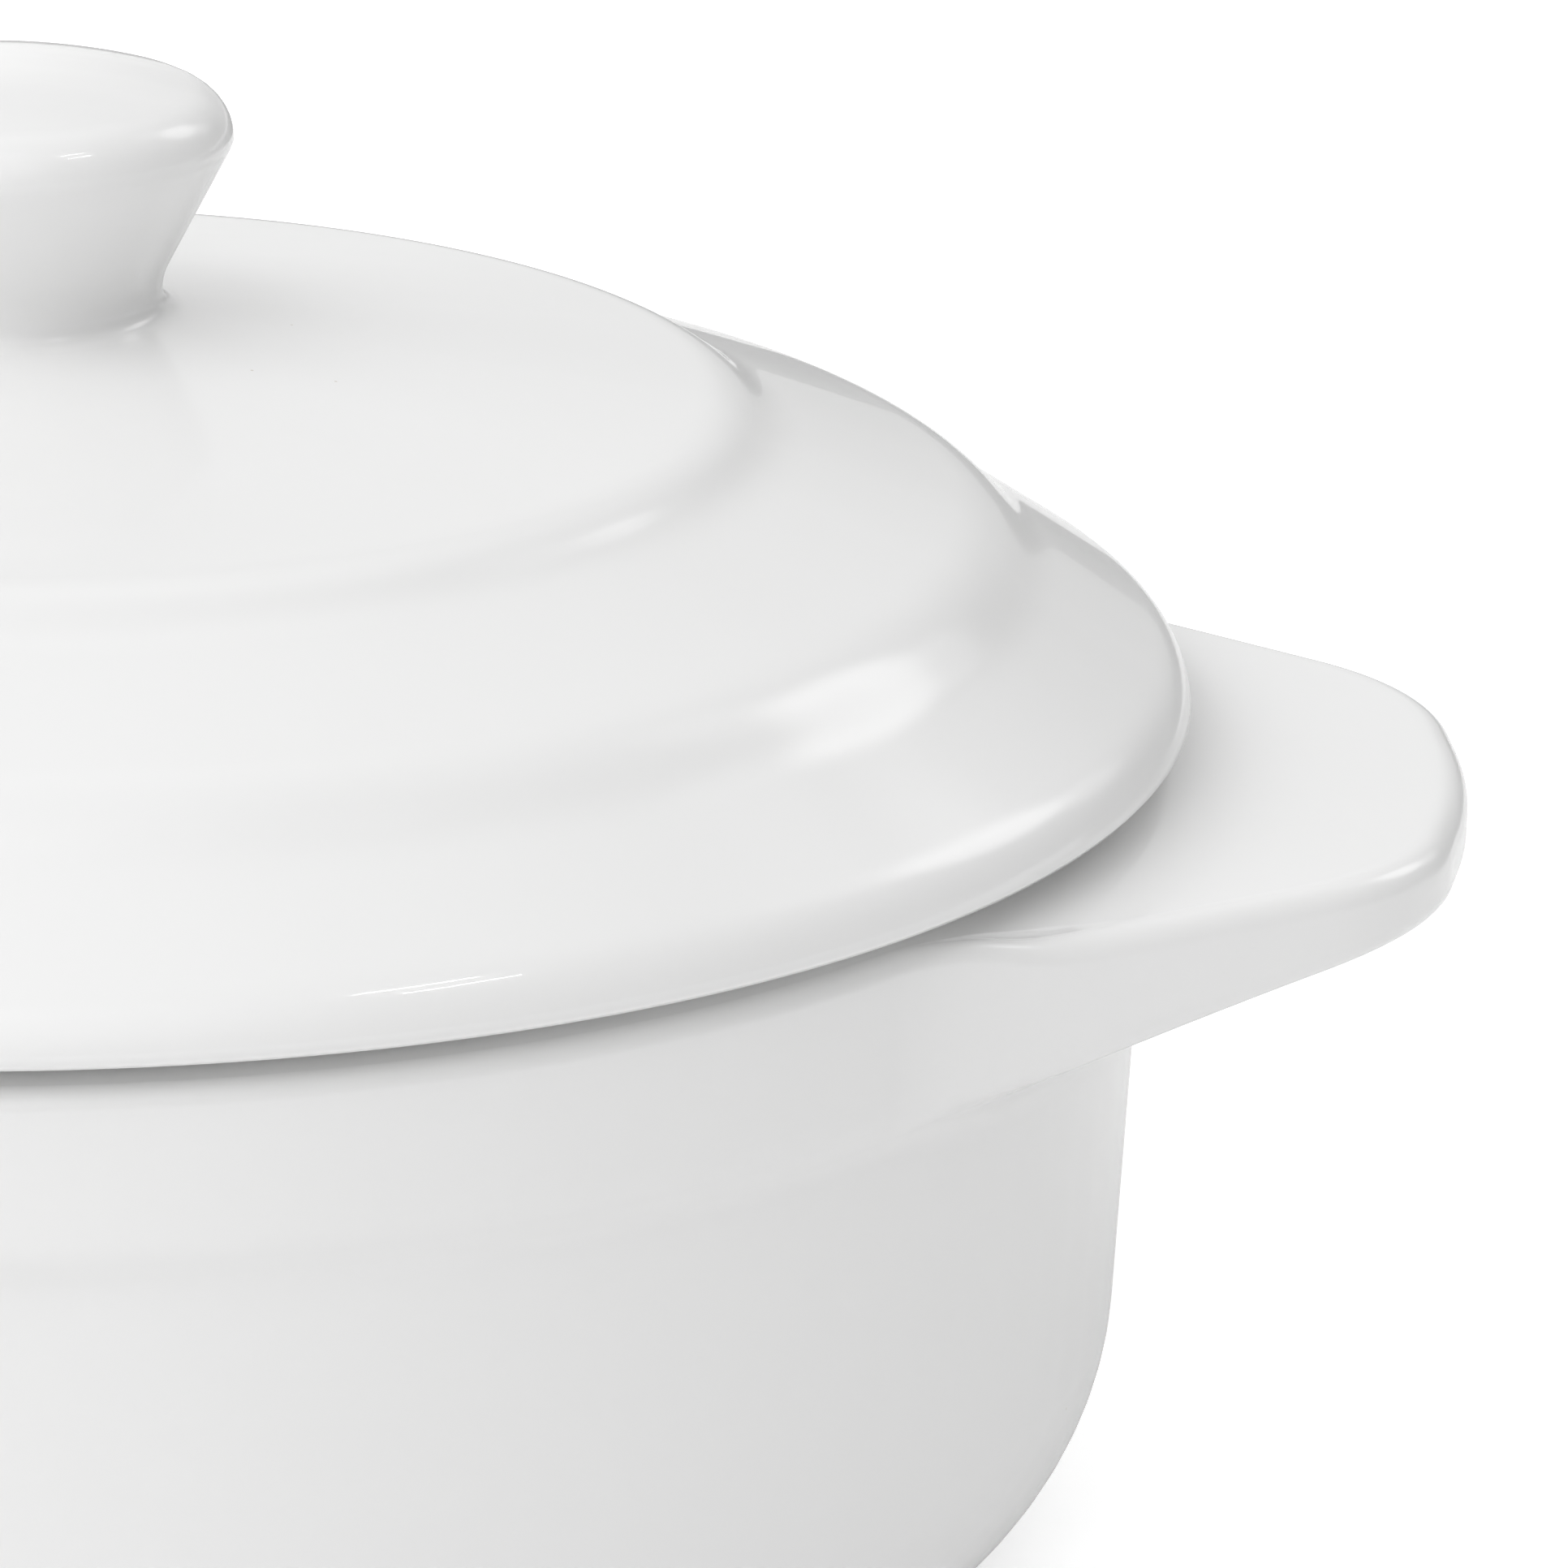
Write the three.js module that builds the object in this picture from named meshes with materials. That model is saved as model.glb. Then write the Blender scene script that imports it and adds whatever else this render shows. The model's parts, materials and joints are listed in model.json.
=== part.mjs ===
// A round stoneware casserole: a dish with a collar and two side handles, and a stepped lid with a knob.
// Sizes are in millimetres, +Z is up, and the dish stands on z = 0 with its handles along X.
import * as THREE from 'three';

// Dish
const rimHeight = 85.2;
const collarRadius = 117.5;
const collarDepth = 17.4;
const collarStep = 1.7;
const collarStepHeight = 4;
const collarBlend = 6;
const rimWidth = 9.5;
const rimRound = 2;
const mouthRound = 1.5;
const wallTaper = 3;
const bodyCorner = 27.5;
const floorThickness = 6.5;
const footWidth = 7;
const footHeight = 2;

// Handles
const handleReach = 31.2;
const handleDrop = 2;
const handleTipThickness = 6.6;
const handleTipHalfWidth = 31;
const handleRootAngle = THREE.MathUtils.degToRad(35.4);
const handleTipRound = 30;
const handleRootBlend = 35;
const handleEndCrown = 4;
const handleEndRound = 100;
const handleTopRound = 2.4;
const handleBottomRound = 1.8;
const handleEndThickness = 0.9;
const handleSweepPower = 1.4;

// Lid, from its edge inwards: each tread or riser is a width and a rise
const lidOverhang = 2.5;
const lidEdgeLift = 2.8;
const lidEdgeBevel = 0.6;
const lip = { width: 0.5, rise: 4.2, round: 7.5 };
const lowerTread = { width: 14.8, rise: 9.6, round: 16 };
const lowerRiser = { width: 5.3, rise: 5.2, round: 16 };
const middleTread = { width: 21.7, rise: 7.9, round: 14 };
const upperRiser = { width: 4.2, rise: 3.4, round: 9 };
const crownRise = 8;
const lidThickness = 7;
const lidSeatWidth = 2.5;
const lidDomeShoulder = 25;
const flangeClearance = 1.6;
const flangeDepth = 8;
const flangeThickness = 4.2;
const flangeBevel = 1;

// Knob
const knobFootRadius = 17;
const knobFootHeight = 0.6;
const knobSeatMargin = 1;
const knobNeckRadius = 15.8;
const knobNeckHeight = 1.9;
const knobNeckRound = 2;
const knobRadius = 23.7;
const knobHeight = 24.9;
const knobDomeRadius = 72;
const knobBrimRound = 5;
const knobFlare = THREE.MathUtils.degToRad(29.5);

// Clearances and fineness
const slip = 0.3;
const turnSegments = 72;
const knobSegments = 48;
const handleSections = 18;
const sweepSteps = 4;
const domeSteps = 10;
const facetAngle = THREE.MathUtils.degToRad(18);

// Points of an arc about a centre, from one angle to another
function arc(centre, radius, from, to) {
  const steps = Math.max(1, Math.ceil(Math.abs(to - from) / facetAngle));
  return Array.from({ length: steps + 1 }, (_, step) => {
    const angle = from + (to - from) * step / steps;
    return new THREE.Vector2(centre.x + radius * Math.cos(angle), centre.y + radius * Math.sin(angle));
  });
}

// Straight runs with rounded corners: every corner is [x, y] or [x, y, radius].
// A rounding takes up to the whole of a run, or half of it where the next corner is rounded too.
function roundedRun(corners) {
  return corners.flatMap(([x, y, radius], index) => {
    const corner = new THREE.Vector2(x, y);
    if (!radius) {
      return [corner];
    }
    const [back, ahead] = [corners[index - 1], corners[index + 1]].map(([nextX, nextY, nextRadius]) => {
      const run = new THREE.Vector2(nextX, nextY).sub(corner);
      return run.multiplyScalar(nextRadius ? 0.5 : 1);
    });
    const half = back.angleTo(ahead) / 2;
    const reach = Math.min(radius / Math.tan(half), back.length(), ahead.length());
    const fillet = reach * Math.tan(half);
    const turn = Math.sign(ahead.cross(back)) * (Math.PI - 2 * half);
    const centre = back.clone().normalize().add(ahead.clone().normalize());
    centre.setLength(fillet / Math.sin(half)).add(corner);
    const start = back.setLength(reach).add(corner).sub(centre).angle();
    return arc(centre, fillet, start, start + turn);
  });
}

function revolve(profile, segments) {
  return new THREE.LatheGeometry(profile, segments).rotateX(Math.PI / 2);
}

function part(name, geometry) {
  const glaze = new THREE.MeshStandardMaterial({ color: 0xf3f3f1, roughness: 0.12, metalness: 0 });
  const mesh = new THREE.Mesh(geometry, glaze);
  mesh.name = name;
  return mesh;
}

// Dish: foot ring, tapered wall, collar, flat rim and the inside
const collarBottom = rimHeight - collarDepth;
const wallRadius = collarRadius - collarStep;
const mouthRadius = collarRadius - rimWidth;
const footRadius = wallRadius - wallTaper - bodyCorner;
const floorHeight = footHeight + floorThickness;

const dishProfile = roundedRun([
  [0, footHeight],
  [footRadius - footWidth - footHeight, footHeight],
  [footRadius - footWidth, 0],
  [footRadius, 0],
  [wallRadius - wallTaper, 0, bodyCorner],
  [wallRadius, collarBottom - collarStepHeight / 2, collarBlend],
  [collarRadius, collarBottom + collarStepHeight / 2, collarBlend],
  [collarRadius, rimHeight, rimRound],
  [mouthRadius, rimHeight, mouthRound],
  [mouthRadius - wallTaper, floorHeight, bodyCorner - floorThickness],
  [0, floorHeight],
]);

// Handle: seen from above it flares out of the collar, narrows in straight sides and ends in a crowned tip;
// seen from the side it is a flat top over an underside that sweeps up from the foot of the collar
const handleTop = rimHeight - handleDrop;
const handleTip = collarRadius + handleReach;
const handleInside = collarRadius + slip;

function undersideHeight(radius) {
  const share = THREE.MathUtils.clamp((handleTip - radius) / handleReach, 0, 1);
  const tipHeight = handleTop - handleTipThickness;
  return tipHeight - (tipHeight - collarBottom) * share ** handleSweepPower;
}

function handleOutline() {
  const onCollar = (angle) => [collarRadius * Math.cos(angle), collarRadius * Math.sin(angle)];
  const half = [
    onCollar(handleRootAngle + handleRootBlend / (2 * collarRadius)),
    [...onCollar(handleRootAngle), handleRootBlend],
    [handleTip - handleEndCrown, handleTipHalfWidth, handleTipRound],
  ];
  const mirrored = half.toReversed().map(([x, y, radius]) => [x, -y, radius]);
  const outline = roundedRun([...half, [handleTip, 0, handleEndRound], ...mirrored]);
  const evenly = new THREE.Path().setFromPoints(outline).getSpacedPoints(2 * handleSections);
  return evenly.filter((point) => point.length() > handleInside + handleEndThickness);
}

function handleSection(edge) {
  const depth = edge - handleInside;
  const thickness = handleTop - undersideHeight(edge);
  const topRound = Math.min(handleTopRound, depth / 2, thickness / 2);
  const bottomRound = Math.min(handleBottomRound, depth / 2, thickness / 2);
  const lowerEdge = undersideHeight(edge) + bottomRound;
  const top = arc(new THREE.Vector2(edge - topRound, handleTop - topRound), topRound, Math.PI / 2, 0);
  const bottom = arc(new THREE.Vector2(edge - bottomRound, lowerEdge), bottomRound, 0, -Math.PI / 2);
  const sweep = Array.from({ length: sweepSteps }, (_, step) => {
    const radius = handleInside + (depth - bottomRound) * (1 - (step + 1) / sweepSteps);
    return new THREE.Vector2(radius, undersideHeight(radius));
  });
  return [new THREE.Vector2(handleInside, handleTop), ...top, ...bottom, ...sweep];
}

// Radial sections joined ring to ring, with a flat fan closing each end
function handleGeometry() {
  const sections = handleOutline().map((point) => {
    const turn = point.angle();
    return handleSection(point.length()).map((p) => [p.x * Math.cos(turn), p.x * Math.sin(turn), p.y]);
  });
  const size = sections[0].length;
  const last = (sections.length - 1) * size;
  const triangles = [];
  for (let section = 0; section < sections.length - 1; section += 1) {
    for (let side = 0; side < size; side += 1) {
      const a = section * size + side;
      const b = section * size + (side + 1) % size;
      triangles.push(a, a + size, b, b, a + size, b + size);
    }
  }
  for (let side = 1; side < size - 1; side += 1) {
    triangles.push(0, side, side + 1, last, last + side + 1, last + side);
  }
  const geometry = new THREE.BufferGeometry();
  geometry.setAttribute('position', new THREE.Float32BufferAttribute(sections.flat(2), 3));
  geometry.setIndex(triangles);
  geometry.computeVertexNormals();
  return geometry;
}

// Lid: corners of the stepped top, worked out from the edge inwards
const lidRadius = collarRadius + lidOverhang;
const lidEdge = rimHeight + lidEdgeLift;
const flangeRadius = mouthRadius - flangeClearance;
const seatRadius = mouthRadius + lidSeatWidth;

let corner = [lidRadius, lidEdge];
const steps = [lip, lowerTread, lowerRiser, middleTread, upperRiser].map(({ width, rise, round }) => {
  corner = [corner[0] - width, corner[1] + rise, round];
  return corner;
});
const knobSeat = corner[1] + crownRise;
const flangeInside = flangeRadius - flangeThickness;
const dome = new THREE.QuadraticBezierCurve(
  new THREE.Vector2(0, knobSeat - lidThickness),
  new THREE.Vector2(flangeInside - lidDomeShoulder, knobSeat - lidThickness),
  new THREE.Vector2(flangeInside, rimHeight),
);

const lidProfile = [
  ...dome.getPoints(domeSteps),
  ...roundedRun([
    [flangeInside, rimHeight - flangeDepth],
    [flangeRadius - flangeBevel, rimHeight - flangeDepth],
    [flangeRadius, rimHeight - flangeDepth + flangeBevel],
    [flangeRadius, rimHeight],
    [seatRadius, rimHeight],
    [seatRadius + lidEdgeLift, lidEdge],
    [lidRadius - lidEdgeBevel, lidEdge],
    [lidRadius, lidEdge + lidEdgeBevel],
    ...steps,
    [knobFootRadius + knobSeatMargin, knobSeat],
    [0, knobSeat],
  ]),
];

// Knob: a low foot, a flaring neck, a rounded brim and a shallow dome
const domeCentre = new THREE.Vector2(0, knobSeat + knobHeight - knobDomeRadius);
const domeEnd = Math.acos((knobRadius - knobBrimRound) / (knobDomeRadius - knobBrimRound));
const brimCentre = new THREE.Vector2(knobDomeRadius - knobBrimRound, 0)
  .rotateAround(new THREE.Vector2(), domeEnd)
  .add(domeCentre);

const brim = arc(brimCentre, knobBrimRound, -knobFlare, domeEnd);
const knobProfile = [
  ...roundedRun([
    [0, knobSeat],
    [knobFootRadius, knobSeat],
    [knobFootRadius, knobSeat + knobFootHeight],
    [knobNeckRadius, knobSeat + knobNeckHeight, knobNeckRound],
    [brim[0].x, brim[0].y],
  ]),
  ...brim.slice(1),
  ...arc(domeCentre, knobDomeRadius, domeEnd, Math.PI / 2).slice(1),
];

const dish = new THREE.Group();
dish.name = 'dish';
const handleLeft = part('handle_left', handleGeometry());
handleLeft.rotation.z = Math.PI;
dish.add(
  part('dish_body', revolve(dishProfile, turnSegments)),
  part('handle_right', handleGeometry()),
  handleLeft,
);

const cover = new THREE.Group();
cover.name = 'cover';
cover.add(
  part('lid', revolve(lidProfile, turnSegments)),
  part('lid_knob', revolve(knobProfile, knobSegments)),
);

const casserole = new THREE.Group();
casserole.name = 'casserole';
casserole.add(dish, cover);

export default casserole;
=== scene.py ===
# %% [markdown]
# # A white glazed casserole
#
# This lesson dresses a round stoneware casserole: a dish with a collar and two solid side handles,
# and a stepped lid with a knob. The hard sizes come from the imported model, which is loaded first and
# never moved. What is added here is the fired surface: soft edges, blends where clay was joined to
# clay, and a clear glaze that is almost, but not quite, even.

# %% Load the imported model
import json
import math

import bpy
import numpy as np
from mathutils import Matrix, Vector

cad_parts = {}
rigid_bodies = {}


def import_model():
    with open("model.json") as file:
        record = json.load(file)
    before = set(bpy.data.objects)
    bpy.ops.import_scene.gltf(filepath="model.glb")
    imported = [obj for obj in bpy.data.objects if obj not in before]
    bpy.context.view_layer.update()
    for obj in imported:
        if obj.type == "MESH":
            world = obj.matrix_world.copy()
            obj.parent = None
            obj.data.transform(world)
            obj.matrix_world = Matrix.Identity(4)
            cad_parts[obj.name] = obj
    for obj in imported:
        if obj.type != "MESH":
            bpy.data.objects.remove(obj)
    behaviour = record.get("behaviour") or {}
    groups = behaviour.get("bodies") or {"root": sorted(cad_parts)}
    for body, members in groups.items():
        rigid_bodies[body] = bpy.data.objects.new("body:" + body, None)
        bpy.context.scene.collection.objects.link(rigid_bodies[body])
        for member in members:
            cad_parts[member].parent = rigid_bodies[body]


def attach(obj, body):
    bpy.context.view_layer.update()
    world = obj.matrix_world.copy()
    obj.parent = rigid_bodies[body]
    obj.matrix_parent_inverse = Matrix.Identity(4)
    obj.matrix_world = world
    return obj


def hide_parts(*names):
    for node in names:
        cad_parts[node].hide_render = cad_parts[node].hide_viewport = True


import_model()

scene = bpy.context.scene
for leftover in [thing for thing in scene.objects if thing.name in ("Cube", "Light", "Camera")]:
    bpy.data.objects.remove(leftover)
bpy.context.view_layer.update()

# %% [markdown]
# ## Camera
#
# The photograph is a close view of the right half of the casserole, from a little above the rim and a
# little to the right of square on. A camera could be pointed by eye, or by a Track To constraint. Here
# its place and turn are written as numbers that were fitted to the ellipses of the lid, because the
# outlines then lie over the photograph. The frame is square, so one lens length serves both sides and
# no shift is needed.

# %% Camera at the photograph's place
CAMERA_PLACE = (0.12619, -0.82464, 0.34195)
CAMERA_DEGREES = (72.368, -1.131, 3.603)
camera = bpy.data.objects.new("camera", bpy.data.cameras.new("camera"))
scene.collection.objects.link(camera)
camera.data.sensor_width = 36.0
camera.data.lens = 198.36
camera.data.clip_start = 0.05
camera.data.clip_end = 50.0
camera.location = CAMERA_PLACE
camera.rotation_euler = [math.radians(angle) for angle in CAMERA_DEGREES]
scene.camera = camera
scene.view_settings.view_transform = "Standard"
print("camera", [round(v, 4) for v in camera.location])

# %% [markdown]
# ## Outlines made of straight runs and roundings
#
# A potter's profile is a few straight runs with softened corners. It could be drawn as a Bezier curve
# with handles, but those are hard to read in a script. Writing it as corner points, each with a radius,
# keeps the numbers few, and the helpers below turn them into points that are close enough together for
# a smooth surface.

# %% How far each rounding wants to reach
MM = 0.001


def wanted_reach(spots, corners):
    """Along the runs from each corner, the length its rounding takes, and half the angle between them."""
    wish, half = np.zeros(len(corners)), np.zeros(len(corners))
    for index, corner in enumerate(corners):
        if len(corner) > 2:
            back, ahead = spots[index - 1] - spots[index], spots[index + 1] - spots[index]
            opening = back @ ahead / np.linalg.norm(back) / np.linalg.norm(ahead)
            half[index] = math.acos(np.clip(opening, -1, 1)) / 2
            wish[index] = corner[2] / math.tan(half[index])
    return wish, half


square = [(0, 0), (10, 0, 2), (10, 10)]
square_reach = wanted_reach([np.array(corner[:2], float) for corner in square], square)[0][1]
print("a 2 mm rounding in a square corner takes", round(square_reach, 2), "mm of each run")

# %% Rounded outline
def rounded_run(corners, facet=math.radians(5)):
    """Points along straight runs whose corners, each (x, y) or (x, y, radius), are rounded."""
    spots = [np.array(corner[:2], float) for corner in corners]
    wish, half = wanted_reach(spots, corners)
    points = []
    for index, here in enumerate(spots):
        if not wish[index]:
            points.append(here)
            continue
        reach, ways = wish[index], []
        for other in (index - 1, index + 1):
            run = spots[other] - here
            length = np.linalg.norm(run)
            reach = min(reach, max(length / 2, length - wish[other]))
            ways.append(run / length)
        back, ahead = ways
        radius = reach * math.tan(half[index])
        inward = (back + ahead) / np.linalg.norm(back + ahead)
        centre = here + inward * radius / math.sin(half[index])
        start = here + back * reach - centre
        turn = math.copysign(math.pi - 2 * half[index], ahead[0] * back[1] - ahead[1] * back[0])
        steps = max(2, math.ceil(abs(turn) / facet))
        for step in range(steps + 1):
            c, s = math.cos(turn * step / steps), math.sin(turn * step / steps)
            points.append(centre + (start[0] * c - start[1] * s, start[0] * s + start[1] * c))
    return np.array(points)


def spaced(points, count):
    """The same line as count points at even distances."""
    lengths = np.r_[0, np.cumsum(np.linalg.norm(np.diff(points, axis=0), axis=1))]
    at = np.linspace(0, lengths[-1], count)
    return np.stack([np.interp(at, lengths, points[:, axis]) for axis in (0, 1)], 1)


print("that square corner becomes", len(rounded_run(square)), "points")

# %% [markdown]
# ## Dish with its handles
#
# On the real dish the handles are joined to the collar with slip and the glaze runs over the joint, so
# there is no seam to be seen. A Boolean union would leave a hard crease there. Instead the dish is one
# polar grid: every column is the dish's own profile, and near the handles the stretch between the rim
# and the wall is drawn out into a handle section. It starts with the handle seen from above: it flares
# out of the collar, narrows in straight sides and ends in a crowned tip. That outline is a rounded run
# of seven corners, made from one half and its mirror image, and is read later as a radius at an angle.

# %% Handle's outline from above, in millimetres
COLLAR = 117.5
HANDLE_REACH = 31.2
ROOT_ANGLE = math.radians(35.4)
ROOT_BLEND = 35
TIP_CROWN, TIP_HALF_WIDTH = 4, 31
TIP_SOFT, END_SOFT = 30, 100
OUTLINE_POINTS = 900


def plan_outline():
    """Angle and radius of the handle's edge, seen from above."""
    beyond = ROOT_ANGLE + ROOT_BLEND / (2 * COLLAR)
    tip = COLLAR + HANDLE_REACH
    half = [
        (COLLAR * math.cos(beyond), -COLLAR * math.sin(beyond)),
        (COLLAR * math.cos(ROOT_ANGLE), -COLLAR * math.sin(ROOT_ANGLE), ROOT_BLEND),
        (tip - TIP_CROWN, -TIP_HALF_WIDTH, TIP_SOFT),
    ]
    mirrored = [(x, -y, *soft) for x, y, *soft in reversed(half)]
    run = rounded_run([*half, (tip, 0, END_SOFT), *mirrored], facet=math.radians(1))
    east, north = spaced(run, OUTLINE_POINTS).T
    return np.arctan2(north, east), np.maximum(np.hypot(east, north), COLLAR)


outline_angle, outline_radius = plan_outline()
print("handle edge from", round(outline_radius.min(), 1), "to", round(outline_radius.max(), 1), "mm")

# %% [markdown]
# A collar and a handle look like two shapes, and could be modelled as two. One section serves both
# here, because it only asks how far the edge stands out, and so the one runs into the other without a
# seam. It has seven stretches: over the rim and down the gentle slope to the handle's top, round the
# upper edge, down the side, round the lower edge, along the underside, round into the wall and down it.
# Each stretch has its own number of rows, so a row follows the same feature from one column to the
# next, and the roundings grow as the handle runs out into the collar, as wiped slip does.

# %% Underside of the handle
RIM, HANDLE_TOP, COLLAR_FOOT = 85.2, 83.2, 67.8
TIP_THICKNESS = 6.6
SWEEP = 1.4


def smooth(share):
    """An even start and an even stop between nought and one."""
    share = np.clip(share, 0, 1)
    return share * share * (3 - 2 * share)


def underside(radius):
    """Height of the handle's lower edge, which sweeps up from the foot of the collar."""
    share = np.clip((COLLAR + HANDLE_REACH - radius) / HANDLE_REACH, 0, 1)
    tip = HANDLE_TOP - TIP_THICKNESS
    return tip - (tip - COLLAR_FOOT) * share ** SWEEP


print("handle's underside climbs", round(underside(COLLAR + HANDLE_REACH) - underside(COLLAR), 1), "mm")

# %% Sizes of the section, in millimetres
ROWS = (26, 12, 12, 12, 16, 14, 6)
RIM_MIDDLE = COLLAR - 5
SLOPE_START, SLOPE_RUN = COLLAR - 3, 11
SLOPE_POINTS, ARC_POINTS = 120, 16
RIM_SOFT, TOP_SOFT, BOTTOM_SOFT, STEP_SOFT = 2.0, 3.0, 2.0, 6
SOFT_FADE = 1.5
EDGE_BLEND, DROP_BLEND = 8, 6
STEP_HALF = 2
WALL, TAPER, WALL_MEETS = 115.8, 3.0, 50.0
INWARD, HAIR = 20, 0.01
wall_top = (WALL, COLLAR_FOOT - STEP_HALF)
wall_end = (WALL - TAPER * (wall_top[1] - WALL_MEETS) / wall_top[1], WALL_MEETS)
print("section ends on the wall at", [round(size, 2) for size in wall_end], "mm with", sum(ROWS), "rows")

# %% Sections between the rim and the wall
def fillet(before, corner, after, radius):
    """Points of the arc that rounds one corner."""
    arc_run = rounded_run([before, (*corner, radius), after], facet=math.radians(2))
    return spaced(arc_run[1:-1], ARC_POINTS)


def section(edge):
    """Rim to wall where the edge of the collar or the handle stands at that radius."""
    out = edge - COLLAR
    on_handle = smooth(out / EDGE_BLEND)
    drop = (RIM - HANDLE_TOP) * smooth(out / DROP_BLEND)
    run = np.linspace(RIM_MIDDLE, edge, SLOPE_POINTS)
    top = np.stack([run, RIM - drop * smooth((run - SLOPE_START) / SLOPE_RUN)], 1)
    upper = (edge, top[-1, 1])
    lower = (edge, underside(edge) + STEP_HALF * (1 - on_handle))
    upper_soft = RIM_SOFT + (TOP_SOFT - RIM_SOFT) * on_handle
    lower_soft = BOTTOM_SOFT + (STEP_SOFT - BOTTOM_SOFT) * (1 - out / HANDLE_REACH) ** SOFT_FADE
    over = fillet((edge - INWARD, upper[1]), upper, lower, upper_soft)
    under = fillet(upper, lower, wall_top, lower_soft)
    into = fillet(lower, wall_top, wall_end, STEP_SOFT)
    top = np.vstack([top[top[:, 0] < over[0, 0] - HAIR], over[:1]])
    stretches = [
        top, over, [over[-1], under[0]], under, [under[-1], into[0]], into, [into[-1], wall_end],
    ]
    lines = zip(stretches, ROWS)
    return np.vstack([spaced(np.array(line, float), rows + 1)[:-1] for line, rows in lines])


print("section at the handle's tip, rows and sides", section(outline_radius.max()).shape)

# %% [markdown]
# The rest of the profile is the same all round: the inside with its wide corner to the floor, and below
# the section the tapered wall, the round to the foot ring and the recessed base. It could be a Screw
# modifier on a curve, but then it would have to be stitched to the sections. As rows of the same grid
# it needs no stitching. A few extra rings keep the flat floor and base from long thin triangles.

# %% Rows inside the dish and below its section
MOUTH, MOUTH_SOFT = 108.0, 1.5
CORNER, FLOOR = 27.5, 8.5
FOOT_HEIGHT, FOOT_WIDTH = 2.0, 7.0
FOOT_SOFT, BASE_SOFT = 0.6, 0.8
FLAT_FLOOR, FLOOR_RINGS = 80, 9
FLAT_BASE, BASE_RINGS = 70, 8
WALL_ROWS = 5
floor_rings = [(ring, FLOOR) for ring in np.linspace(0, FLAT_FLOOR, FLOOR_RINGS)]
base_rings = [(ring, FOOT_HEIGHT) for ring in np.linspace(FLAT_BASE, 0, BASE_RINGS)]
inside = rounded_run([
    (0, FLOOR), (MOUTH - TAPER, FLOOR, CORNER - FLOOR + FOOT_HEIGHT),
    (MOUTH, RIM, MOUTH_SOFT), (RIM_MIDDLE, RIM),
])
inside = np.vstack([floor_rings, inside[1:-1]])
foot_inside = WALL - TAPER - CORNER - FOOT_WIDTH
below = rounded_run([
    wall_end, (WALL - TAPER, 0, CORNER), (foot_inside, 0, FOOT_SOFT),
    (foot_inside - FOOT_HEIGHT, FOOT_HEIGHT, BASE_SOFT), (0, FOOT_HEIGHT),
])
below = np.vstack([np.linspace(below[0], below[1], WALL_ROWS)[:-1], below[1:-1], base_rings])
print("rows inside", len(inside), "and below", len(below))

# %% [markdown]
# Columns stand closer together at the handles, where the outline turns, and wider apart between them.
# The second handle is the first one turned by half a circle, so each angle is first brought into the
# half that has the outline.

# %% Columns of the dish
HANDLE_SPAN = np.radians(46)
FINE_COLUMNS, COARSE_COLUMNS = 155, 45
fine = np.linspace(-HANDLE_SPAN, HANDLE_SPAN, FINE_COLUMNS)
coarse = np.linspace(HANDLE_SPAN, math.pi - HANDLE_SPAN, COARSE_COLUMNS)[1:-1]
angles = np.concatenate([fine, coarse, fine + math.pi, coarse + math.pi])
columns = []
for angle in angles:
    turned_by = (angle + math.pi / 2) % math.pi - math.pi / 2
    edge = np.interp(turned_by, outline_angle, outline_radius, left=COLLAR, right=COLLAR)
    columns.append(np.vstack([inside, section(edge), below]))
columns = np.array(columns) * MM
print("dish columns", len(columns), "rows", columns.shape[1])

# %% [markdown]
# A polar grid has two poles, in the middle of the floor and of the underside. A ring of vertices on one
# spot would shade badly there. Each pole is one vertex with a fan of triangles, so the shell is closed
# and every vertex is used once.

# %% Dish mesh
def polar_mesh(name, columns, angles):
    """A closed shell from radial columns whose first and last rows are poles on the axis."""
    count, rows = columns.shape[:2]
    radius, height = columns[:, 1:-1, 0], columns[:, 1:-1, 1]
    cosine, sine = np.cos(angles)[:, None], np.sin(angles)[:, None]
    vertices = np.stack([radius * cosine, radius * sine, height], -1).reshape(-1, 3).tolist()
    first, last = len(vertices), len(vertices) + 1
    vertices += [(0, 0, columns[0, 0, 1]), (0, 0, columns[0, -1, 1])]
    inner = rows - 2
    faces = []
    for column in range(count):
        here, there = column * inner, (column + 1) % count * inner
        faces.append((first, here, there))
        faces += [(here + r, here + r + 1, there + r + 1, there + r) for r in range(inner - 1)]
        faces.append((last, there + inner - 1, here + inner - 1))
    mesh = bpy.data.meshes.new(name)
    mesh.from_pydata(vertices, [], faces)
    mesh.validate()
    mesh.shade_smooth()
    piece = bpy.data.objects.new(name, mesh)
    scene.collection.objects.link(piece)
    return piece


dish = polar_mesh("casserole_dish", columns, angles)
print("dish faces", len(dish.data.polygons))

# %% [markdown]
# ## Nodes in a script
#
# The lid's shape, the glaze and the light are all made with nodes. A node is added, its settings are
# chosen, and each input is either linked to another node's output or given a value. Doing that line by
# line hides what a tree is for, so three small helpers do it: one for the inputs, one for a whole node,
# and one for a step of arithmetic.

# %% Node helpers
def feed(tree, node, inputs):
    """Link each input, by its name or number, to a socket, or set it to a value."""
    for socket, source in inputs.items():
        if isinstance(source, bpy.types.NodeSocket):
            tree.links.new(source, node.inputs[socket])
        else:
            node.inputs[socket].default_value = source


def placed(tree, kind, inputs=None, **settings):
    """A new node with its settings and inputs; what comes back is its outputs."""
    node = tree.nodes.new(kind)
    for setting, value in settings.items():
        setattr(node, setting, value)
    feed(tree, node, inputs or {})
    return node.outputs


def worked(tree, operation, first, second=0.0):
    """The result of one Math node."""
    return placed(tree, "ShaderNodeMath", {0: first, 1: second}, operation=operation)[0]


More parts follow.
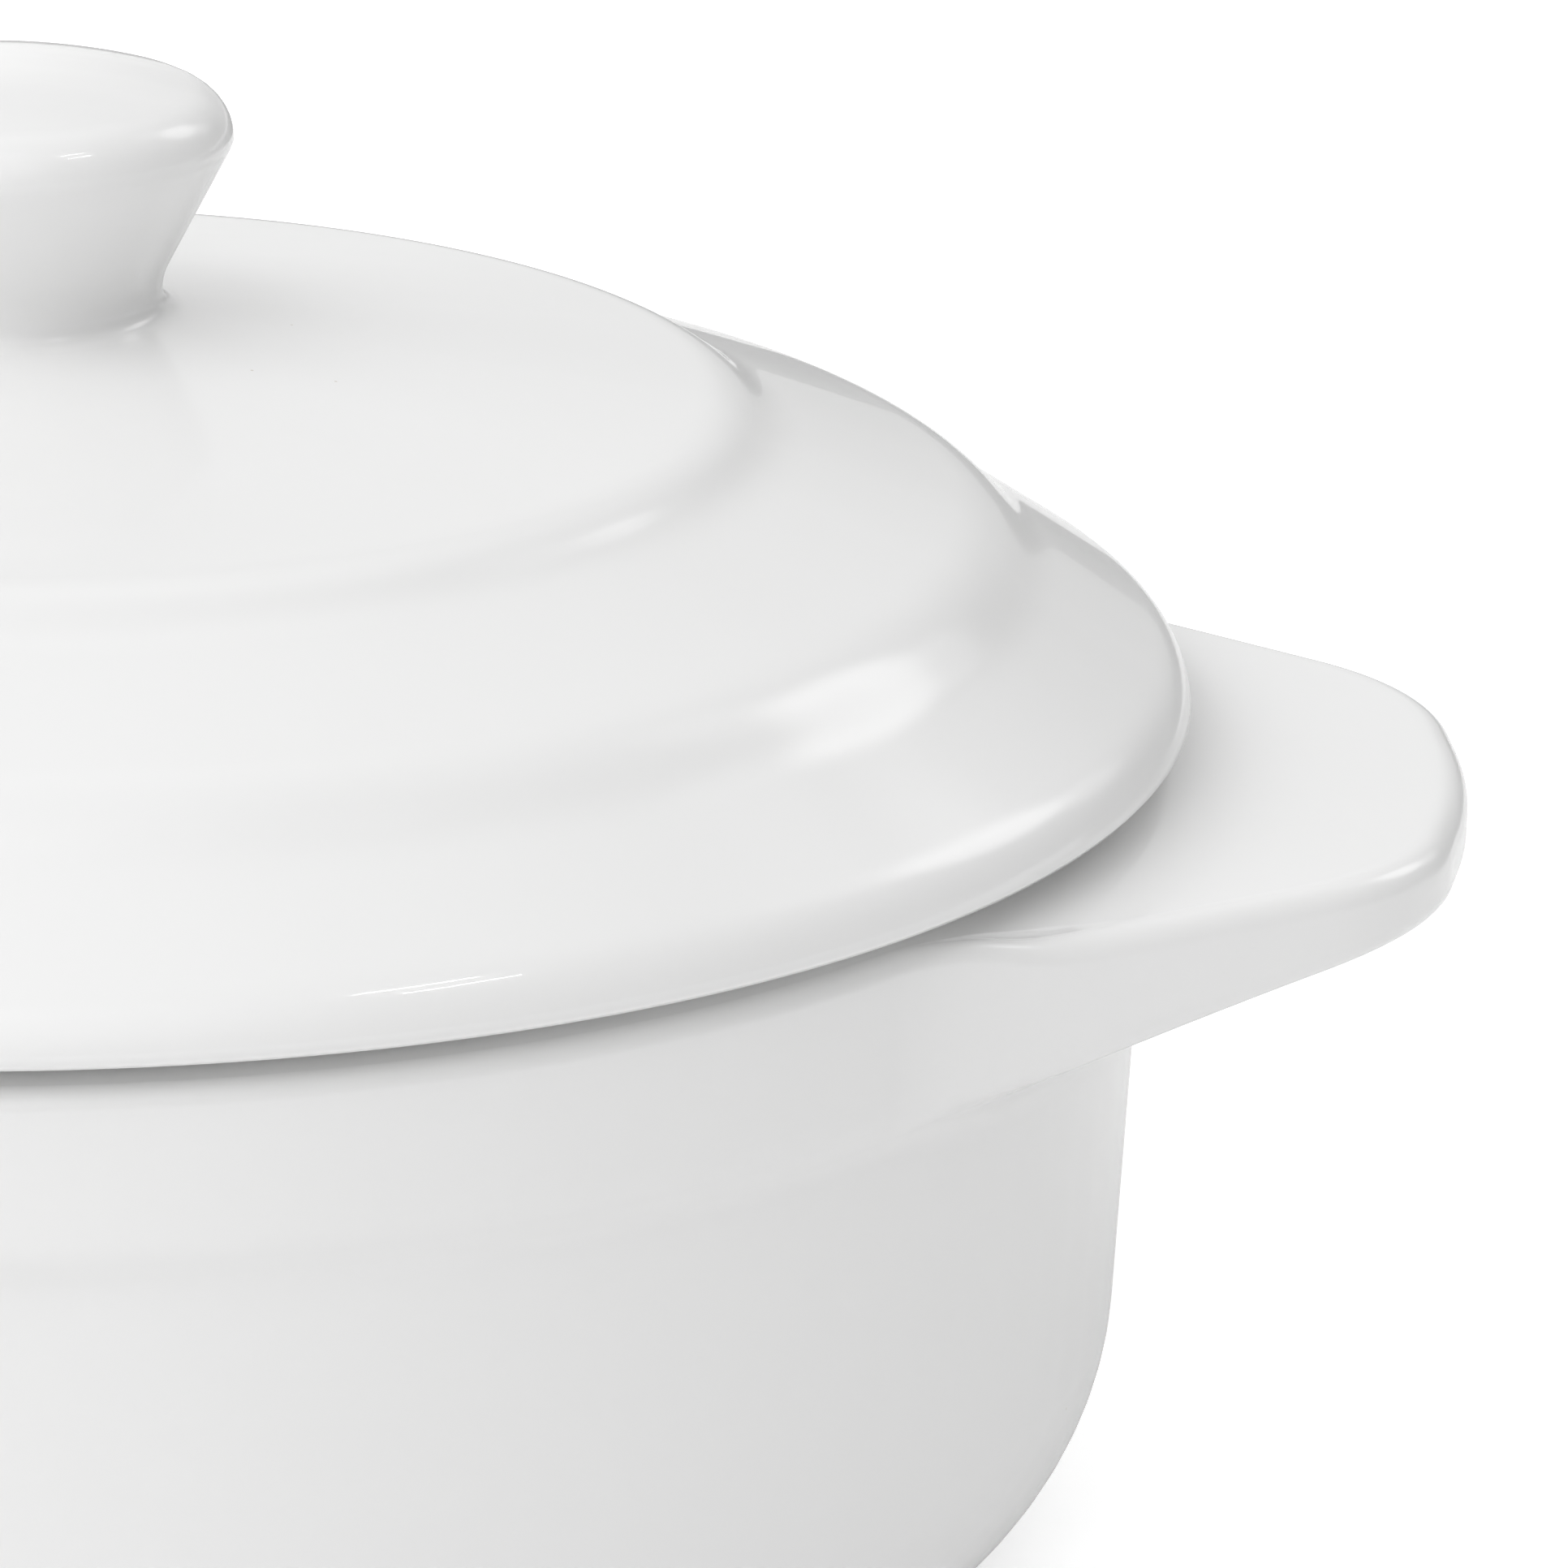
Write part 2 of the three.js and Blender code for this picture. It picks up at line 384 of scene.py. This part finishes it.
print("node helpers", [helper.__name__ for helper in (feed, placed, worked)])

# %% [markdown]
# ## Lid and knob
#
# The lid and the knob are turned shapes: a profile swept once round the axis. A Screw modifier could do
# it. A Geometry Nodes tree does the turning here, so the profile stays an editable curve and the number
# of turns is an input. The tree bends a flat grid: one side of the grid becomes the turn, and the other
# reads its radius and height from the profile curve. The two ends of the turn meet on the same spots and
# are welded, and so are the points on the axis.

# %% Turning tree
TURNING_SOCKETS = (
    ("Profile", "INPUT", "NodeSocketGeometry"), ("Steps round", "INPUT", "NodeSocketInt"),
    ("Steps along", "INPUT", "NodeSocketInt"), ("Finish", "INPUT", "NodeSocketMaterial"),
    ("Geometry", "OUTPUT", "NodeSocketGeometry"),
)
WELD = 1e-6


def turning_tree():
    """Bends a flat grid round the axis, along a profile curve."""
    tree = bpy.data.node_groups.new("turned_on_a_wheel", "GeometryNodeTree")
    for label, side, kind in TURNING_SOCKETS:
        tree.interface.new_socket(label, in_out=side, socket_type=kind)
    given = placed(tree, "NodeGroupInput")
    grid = placed(tree, "GeometryNodeMeshGrid", {
        "Size X": 1.0, "Size Y": 1.0, "Vertices X": given["Steps round"], "Vertices Y": given["Steps along"],
    })
    spot = placed(tree, "ShaderNodeSeparateXYZ", {0: placed(tree, "GeometryNodeInputPosition")[0]})
    turn = worked(tree, "MULTIPLY", spot["X"], 2 * math.pi)
    along = worked(tree, "ADD", spot["Y"], 0.5)
    sample = placed(
        tree, "GeometryNodeSampleCurve", {"Curves": given["Profile"], "Factor": along}, mode="FACTOR",
    )
    profile = placed(tree, "ShaderNodeSeparateXYZ", {0: sample["Position"]})
    bent = placed(tree, "ShaderNodeCombineXYZ", {
        "X": worked(tree, "MULTIPLY", profile["X"], worked(tree, "COSINE", turn)),
        "Y": worked(tree, "MULTIPLY", profile["X"], worked(tree, "SINE", turn)),
        "Z": profile["Z"],
    })
    shape = placed(tree, "GeometryNodeSetPosition", {"Geometry": grid["Mesh"], "Position": bent[0]})
    shape = placed(tree, "GeometryNodeMergeByDistance", {"Geometry": shape[0], "Distance": WELD})
    shape = placed(tree, "GeometryNodeSetShadeSmooth", {"Geometry": shape[0]})
    shape = placed(tree, "GeometryNodeRealizeInstances", {"Geometry": shape[0]})
    shape = placed(tree, "GeometryNodeSetMaterial", {"Geometry": shape[0], "Material": given["Finish"]})
    placed(tree, "NodeGroupOutput", {"Geometry": shape[0]})
    return tree


wheel = turning_tree()
print("turning tree with", len(wheel.nodes), "nodes")

# %% [markdown]
# The tree works as a modifier on the profile curve. Its inputs are set by each socket's identifier,
# because that is how a modifier stores them. A modifier could stay live, but a plain mesh is easier to
# export and to check, so the evaluated result is copied into a mesh and the curve is thrown away.

# %% Turning one piece
def turned(name, profile, steps_round, steps_along, finish):
    """A plain mesh object: the profile, in millimetres from the axis and above the table, turned once."""
    curve = bpy.data.curves.new(name + "_profile", "CURVE")
    curve.dimensions = "3D"
    spline = curve.splines.new("POLY")
    spline.points.add(len(profile) - 1)
    for point, (radius, height) in zip(spline.points, profile):
        point.co = (radius * MM, 0, height * MM, 1)
    holder = bpy.data.objects.new(name + "_profile", curve)
    scene.collection.objects.link(holder)
    modifier = holder.modifiers.new("turning", "NODES")
    modifier.node_group = wheel
    wanted = {"Steps round": steps_round, "Steps along": steps_along, "Finish": finish}
    for socket in wheel.interface.items_tree:
        if socket.name in wanted:
            modifier[socket.identifier] = wanted[socket.name]
    graph = bpy.context.evaluated_depsgraph_get()
    mesh = bpy.data.meshes.new_from_object(holder.evaluated_get(graph))
    mesh.name = name
    bpy.data.objects.remove(holder)
    piece = bpy.data.objects.new(name, mesh)
    scene.collection.objects.link(piece)
    print(name, "faces", len(mesh.polygons))
    return piece


# %% [markdown]
# ## Glaze
#
# A clear glaze over white clay is smooth and glossy, but never perfectly so: it pools a little thicker
# here than there, its surface undulates faintly, and a few tiny specks of iron show through. The foot
# ring is wiped bare before firing, so that the dish does not stick to the kiln shelf. All of this could
# be painted on an image, but an image needs an unwrapped surface and has a fixed fineness. One node
# group makes it from the piece's own coordinates instead, and each material sets it to its own values.

# %% Sockets of the glaze effects
GLAZE_INPUTS = (
    ("Clouding", "NodeSocketFloat", 14.0),
    ("Ripple", "NodeSocketFloat", 70.0),
    ("Specks", "NodeSocketFloat", 60.0),
    ("Thin", "NodeSocketColor", (0.88, 0.88, 0.875, 1)),
    ("Thick", "NodeSocketColor", (0.92, 0.92, 0.92, 1)),
    ("Speck", "NodeSocketColor", (0.68, 0.64, 0.58, 1)),
    ("Clay", "NodeSocketColor", (0.8, 0.76, 0.7, 1)),
    ("Gloss low", "NodeSocketFloat", 0.16),
    ("Gloss high", "NodeSocketFloat", 0.26),
    ("Coat", "NodeSocketFloat", 0.6),
    ("Bare below", "NodeSocketFloat", -1.0),
)
GLAZE_OUTPUTS = (
    ("Color", "NodeSocketColor"), ("Roughness", "NodeSocketFloat"),
    ("Coat", "NodeSocketFloat"), ("Height", "NodeSocketFloat"),
)
effects = bpy.data.node_groups.new("glaze_effects", "ShaderNodeTree")
for label, kind, value in GLAZE_INPUTS:
    effects.interface.new_socket(label, in_out="INPUT", socket_type=kind).default_value = value
for label, kind in GLAZE_OUTPUTS:
    effects.interface.new_socket(label, in_out="OUTPUT", socket_type=kind)
print("glaze effects with", len(GLAZE_INPUTS), "inputs and", len(GLAZE_OUTPUTS), "outputs")

# %% Helpers for the glaze effects
def mixed(factor, first, second):
    """A colour between two colours."""
    mix = placed(effects, "ShaderNodeMix", {"Factor": factor, "A": first, "B": second}, data_type="RGBA")
    return mix["Result"]


def ranged(value, low, high, first=0.0, last=1.0):
    """A value brought from one range into another."""
    span = placed(effects, "ShaderNodeMapRange", {
        "Value": value, "From Min": low, "From Max": high, "To Min": first, "To Max": last,
    })
    return span["Result"]


def noise(place, scale, detail):
    """Soft noise at that scale."""
    return placed(effects, "ShaderNodeTexNoise", {"Vector": place, "Scale": scale, "Detail": detail})["Fac"]


print("glaze helpers", [helper.__name__ for helper in (mixed, ranged, noise)])

# %% Glaze effects
WIPED_EDGE = 0.0004
SPECK_CORE, SPECK_EDGE = 0.006, 0.012
CLAY_ROUGHNESS = 0.8
given = placed(effects, "NodeGroupInput")
place = placed(effects, "ShaderNodeTexCoord")["Object"]
cloud = noise(place, given["Clouding"], detail=4.0)
ripple = noise(place, given["Ripple"], detail=1.0)
dots = placed(effects, "ShaderNodeTexVoronoi", {"Vector": place, "Scale": given["Specks"]})["Distance"]
height = placed(effects, "ShaderNodeSeparateXYZ", {0: place})["Z"]
glazed = ranged(worked(effects, "SUBTRACT", height, given["Bare below"]), 0.0, WIPED_EDGE)
tint = mixed(cloud, given["Thin"], given["Thick"])
tint = mixed(ranged(dots, SPECK_CORE, SPECK_EDGE), given["Speck"], tint)
gloss = ranged(cloud, 0.0, 1.0, given["Gloss low"], given["Gloss high"])
placed(effects, "NodeGroupOutput", {
    "Color": mixed(glazed, given["Clay"], tint),
    "Roughness": ranged(glazed, 0.0, 1.0, CLAY_ROUGHNESS, gloss),
    "Coat": ranged(glazed, 0.0, 1.0, 0.0, given["Coat"]),
    "Height": ripple,
})
print("glaze effects with", len(effects.nodes), "nodes")

# %% [markdown]
# The dish and the lid are glazed in two dips, so each has clouds and ripples of its own scale. One
# material would do for both, but two can be told apart, and only the dish has a bare foot. Values that
# are the same all over, such as the fineness of the top coat, are set on the shader itself: the group
# gives only what changes from place to place.

# %% Glaze materials
RIPPLE_STRENGTH, RIPPLE_DEPTH = 0.05, 0.0005


def glaze(name, clouding, ripple, bare_below):
    """A clear, glossy glaze over white clay, wiped off below that height."""
    material = bpy.data.materials.new(name)
    material.use_nodes = True
    tree = material.node_tree
    own = {"Clouding": clouding, "Ripple": ripple, "Bare below": bare_below}
    look = placed(tree, "ShaderNodeGroup", own, node_tree=effects)
    bump = placed(tree, "ShaderNodeBump", {
        "Strength": RIPPLE_STRENGTH, "Distance": RIPPLE_DEPTH, "Height": look["Height"],
    })
    feed(tree, tree.nodes["Principled BSDF"], {
        "Base Color": look["Color"], "Roughness": look["Roughness"], "Coat Weight": look["Coat"],
        "Normal": bump["Normal"], "IOR": 1.5, "Specular IOR Level": 0.25, "Coat Roughness": 0.02,
    })
    return material


dish_glaze = glaze("dish_glaze", clouding=14.0, ripple=70.0, bare_below=0.0003)
lid_glaze = glaze("lid_glaze", clouding=16.0, ripple=65.0, bare_below=-1.0)
dish.data.materials.append(dish_glaze)
print("glazes", dish_glaze.name, lid_glaze.name)

# %% [markdown]
# ## Profile of the lid
#
# The glaze covers the joint between the lid and its knob, so the two look like one piece and one
# profile describes both. It starts at the top of the hollow inside, follows a smooth curve out to the
# flange that keeps the lid from sliding, and runs along the seat on the rim to the lip. From there two
# soft steps climb to the crown. Each step is written as a width, a rise and a softness, because that is
# how they are read off the photograph.

# %% Steps of the lid, in millimetres
LID_RADIUS, LID_EDGE = 120.0, 88.0
CROWN_RISE = 8.0
WIDTHS_RISES_SOFTNESS = (
    (0.5, 4.2, 7.5), (14.8, 9.6, 16), (5.3, 5.2, 16), (21.7, 7.9, 14), (4.2, 3.4, 9),
)
climb = []
reach, level = LID_RADIUS, LID_EDGE
for width, rise, softness in WIDTHS_RISES_SOFTNESS:
    reach, level = reach - width, level + rise
    climb.append((reach, level, softness))
CROWN = level + CROWN_RISE
print("lid's crown at", round(CROWN, 1), "mm")

# %% Lid's hollow, flange, seat and lip
LID_THICKNESS, HOLLOW_SHOULDER, HOLLOW_POINTS = 7, 25, 40
FLANGE, FLANGE_THICKNESS, FLANGE_DEPTH, FLANGE_SOFT = 106.4, 4.2, 8, 1.2
SEAT, SEAT_CORNER, SEAT_SOFT = MOUTH + 2.5, 0.8, 0.6
LIP_IN, LIP_UP, LIP_UNDER_SOFT, LIP_SOFT = 0.3, 0.6, 0.4, 0.8
hollow_edge, hollow_top, flange_foot = FLANGE - FLANGE_THICKNESS, CROWN - LID_THICKNESS, RIM - FLANGE_DEPTH
share = np.linspace(0, 1, HOLLOW_POINTS)[:-1, None]
hollow = (
    (1 - share) ** 2 * (0, hollow_top)
    + 2 * share * (1 - share) * (hollow_edge - HOLLOW_SHOULDER, hollow_top)
    + share ** 2 * (hollow_edge, RIM)
)
lid_corners = [
    (hollow_edge, RIM), (hollow_edge, flange_foot, FLANGE_SOFT), (FLANGE, flange_foot, FLANGE_SOFT),
    (FLANGE, RIM, SEAT_CORNER), (SEAT, RIM, SEAT_SOFT), (SEAT + LID_EDGE - RIM, LID_EDGE, SEAT_SOFT),
    (LID_RADIUS - LIP_IN, LID_EDGE, LIP_UNDER_SOFT), (LID_RADIUS, LID_EDGE + LIP_UP, LIP_SOFT), *climb,
]
print("lid's corners", len(lid_corners))

# %% [markdown]
# The knob is a grip for a gloved hand: a small fillet turns the crown up into a flaring neck, which ends
# in a brim with a tight lower edge, and a shallow dome closes it. Dome, brim and lower edge are arcs that
# meet without a kink, so their centres are worked out from one another. Rounded corners would do for the
# neck alone, and they do there.

# %% Knob's profile, in millimetres
KNOB, KNOB_HEIGHT, DOME, BRIM, LOWER_BRIM = 23.8, 24.9, 72.0, 5.2, 0.6
NECK, NECK_SOFT, FLARE_SOFT = 16.7, 2.6, 8.0
FLARE = math.radians(27.5)
dome_centre = np.array([0, CROWN + KNOB_HEIGHT - DOME])
dome_end = math.acos((KNOB - BRIM) / (DOME - BRIM))
brim_centre = dome_centre + (DOME - BRIM) * np.array([math.cos(dome_end), math.sin(dome_end)])
lower_centre = brim_centre + (BRIM - LOWER_BRIM, 0)


def arc(centre, radius, begin, stop, count):
    """Points of an arc about a centre."""
    turn = np.linspace(begin, stop, count)
    return centre + radius * np.stack([np.cos(turn), np.sin(turn)], 1)


lower_brim = arc(lower_centre, LOWER_BRIM, -FLARE, 0, count=12)
neck_level = lower_brim[0, 1] - (lower_brim[0, 0] - NECK) / math.tan(FLARE)
print("knob's neck ends", round(neck_level - CROWN, 1), "mm above the crown")

# %% Lid with its knob
neck_corners = [(NECK, CROWN, NECK_SOFT), (NECK, neck_level, FLARE_SOFT), tuple(lower_brim[0])]
lid_profile = np.vstack([
    hollow,
    rounded_run([*lid_corners, *neck_corners])[:-1],
    lower_brim[:-1],
    arc(brim_centre, BRIM, 0, dome_end, count=20)[:-1],
    arc(dome_centre, DOME, dome_end, math.pi / 2, count=16),
])
lid = turned("casserole_lid", lid_profile, steps_round=289, steps_along=340, finish=lid_glaze)

# %% [markdown]
# ## Stage
#
# The photograph is a studio picture on pure white. A white backdrop could be lit until it clips, but
# that light would also wash out the white glaze. So the floor is a plain pale one that takes the shadow
# under the foot, and it is lifted to white only for rays from the camera. Rays from the gloss get a
# very small share of that, or the edges of the casserole would vanish into the white.

# %% Floor
FLOOR_SIZE, FLOOR_WHITE, FLOOR_ROUGHNESS = 12, 0.96, 0.9
CAMERA_LIFT, GLOSS_LIFT = 0.45, 0.02
bpy.ops.mesh.primitive_plane_add(size=FLOOR_SIZE)
floor = bpy.context.object
floor.name = "floor"
floor_white = bpy.data.materials.new("floor_white")
floor_white.use_nodes = True
tree = floor_white.node_tree
rays = placed(tree, "ShaderNodeLightPath")
lift = worked(tree, "MULTIPLY", rays["Is Camera Ray"], CAMERA_LIFT)
for kind in ("Is Glossy Ray", "Is Transmission Ray"):
    lift = worked(tree, "MAXIMUM", lift, worked(tree, "MULTIPLY", rays[kind], GLOSS_LIFT))
feed(tree, tree.nodes["Principled BSDF"], {
    "Base Color": (FLOOR_WHITE, FLOOR_WHITE, FLOOR_WHITE, 1), "Roughness": FLOOR_ROUGHNESS,
    "Emission Color": (1, 1, 1, 1), "Emission Strength": lift,
})
floor.data.materials.append(floor_white)
print("floor", FLOOR_SIZE, "m wide")

# %% [markdown]
# A photographer who shoots white on white stands grey cards just outside the picture, so that the edges
# reflect something darker than the background. A low curved card stands behind the dish here. It shows
# only in the gloss: it is hidden from the camera, casts no shadow and takes no soft light away.

# %% Grey card
CARD_RADIUS, CARD_HEIGHT, CARD_GREY, CARD_ROUGHNESS = 0.75, 0.1, 0.4, 0.9
CARD_FROM, CARD_TO, CARD_POSTS = 30, 120, 31
card_turns = np.radians(np.linspace(CARD_FROM, CARD_TO, CARD_POSTS))
card_spots = [
    (CARD_RADIUS * math.cos(turn), CARD_RADIUS * math.sin(turn), height)
    for turn in card_turns for height in (0, CARD_HEIGHT)
]
card_faces = [(2 * i, 2 * i + 2, 2 * i + 3, 2 * i + 1) for i in range(len(card_turns) - 1)]
card_mesh = bpy.data.meshes.new("grey_card")
card_mesh.from_pydata(card_spots, [], card_faces)
card_grey = bpy.data.materials.new("card_grey")
card_grey.use_nodes = True
feed(card_grey.node_tree, card_grey.node_tree.nodes["Principled BSDF"], {
    "Base Color": (CARD_GREY, CARD_GREY, CARD_GREY, 1), "Roughness": CARD_ROUGHNESS,
})
card_mesh.materials.append(card_grey)
card = bpy.data.objects.new("grey_card", card_mesh)
scene.collection.objects.link(card)
card.visible_camera = card.visible_diffuse = card.visible_shadow = False
print("grey card with", len(card_faces), "faces")

# %% [markdown]
# ## Light
#
# Studio light comes from large soft boxes, and a soft box has no hard edge in a glossy glaze. Area lamps
# would show as rectangles there. The world is a better place for such light: it is a plain base with
# round glows on it, each with a direction, a width and a strength, and each fading evenly to nothing.
# The broad ones stand on the left and above, and three narrow ones behind on the right make the long
# highlights on the steps of the lid. The level is low enough that the white glaze keeps its shading.

# %% Glows of the studio
BASE_LIGHT = 0.31
BROAD, LOW = 40, 36
# Each glow: degrees round from +X, degrees above the horizon, degrees wide, strength
GLOWS = (
    (225, 45, BROAD, 1.61), (270, 45, BROAD, 0.64), (180, 45, BROAD, 0.51), (45, 45, BROAD, 0.25),
    (90, 45, BROAD, 0.26), (135, 45, BROAD, 0.11), (315, 45, BROAD, 0.09), (0, 90, BROAD, 0.34),
    (210, 5, LOW, 0.28), (240, 5, LOW, 0.25), (120, 5, LOW, 0.51), (90, 5, LOW, 0.32),
    (43, 32, 13, 2.1), (38, 44, 11, 0.5), (51, 20, 9, 0.5),
)


def direction(turn, height):
    """A unit vector from degrees round from +X and degrees above the horizon."""
    turn, height = math.radians(turn), math.radians(height)
    return (math.cos(turn) * math.cos(height), math.sin(turn) * math.cos(height), math.sin(height))


print("strongest glow from", [round(part, 2) for part in direction(*GLOWS[0][:2])])

# %% World
world = bpy.data.worlds.new("studio")
scene.world = world
world.use_nodes = True
tree = world.node_tree
looking = placed(tree, "ShaderNodeTexCoord")["Generated"]
total = BASE_LIGHT
for turn, height, width, strength in GLOWS:
    facing = placed(
        tree, "ShaderNodeVectorMath", {0: looking, 1: direction(turn, height)}, operation="DOT_PRODUCT",
    )
    glow = placed(tree, "ShaderNodeMapRange", {
        "Value": facing["Value"], "From Min": math.cos(math.radians(width)), "From Max": 1.0,
        "To Max": strength,
    }, interpolation_type="SMOOTHERSTEP")
    total = worked(tree, "ADD", glow["Result"], total)
feed(tree, tree.nodes["Background"], {"Color": (1, 1, 1, 1), "Strength": total})
print("world with", len(GLOWS), "glows on a base of", BASE_LIGHT)

# %% [markdown]
# Two thin bright lines run along the lip of the lid and the knob in the photograph, as from a pair of
# tube lamps. They could be two more glows, but a glow is round and these are long. A narrow rectangular
# area lamp has the right shape. The tubes light nothing softly and are hidden from the camera: all that
# is wanted of them is the line in the gloss.

# %% Tube lamps
AIM = np.array((0, 0, 0.1))
TUBE_TURN, TUBE_DISTANCE = 334, 1.5
TUBE_LENGTH, TUBE_WIDTH, TUBE_POWER = 0.28, 0.014, 0.5


def tube_lamp(name, height):
    """A thin lamp that faces the casserole from that many degrees above the horizon."""
    data = bpy.data.lights.new(name, "AREA")
    data.shape = "RECTANGLE"
    data.size, data.size_y = TUBE_LENGTH, TUBE_WIDTH
    data.energy = TUBE_POWER
    lamp = bpy.data.objects.new(name, data)
    scene.collection.objects.link(lamp)
    away = TUBE_DISTANCE * np.array(direction(TUBE_TURN, height))
    lamp.location = AIM + away
    lamp.rotation_euler = Vector(-away).to_track_quat("-Z", "Y").to_euler()
    lamp.visible_camera = lamp.visible_diffuse = False
    print(name, "at", [round(part, 2) for part in lamp.location])


tube_lamp("tube_upper", 57)
tube_lamp("tube_lower", 51)

# %% [markdown]
# ## Pieces and bodies
#
# The lid lifts off, so the pieces ride on the bodies of the imported model: the dish stays and the lid goes
# with the cover. Parenting them by hand would work at rest and be lost in other poses. Each piece also
# says which solids it stands in for, so that these are hidden, and which finish it wears.

# %% Pieces and bodies
for piece, body, finish, nodes in (
    (dish, "dish", "dish_glaze", ("dish_body", "handle_right", "handle_left")),
    (lid, "cover", "lid_glaze", ("lid", "lid_knob")),
):
    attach(piece, body)
    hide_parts(*nodes)
    print(piece.name, "rides on", body, "in place of", nodes)
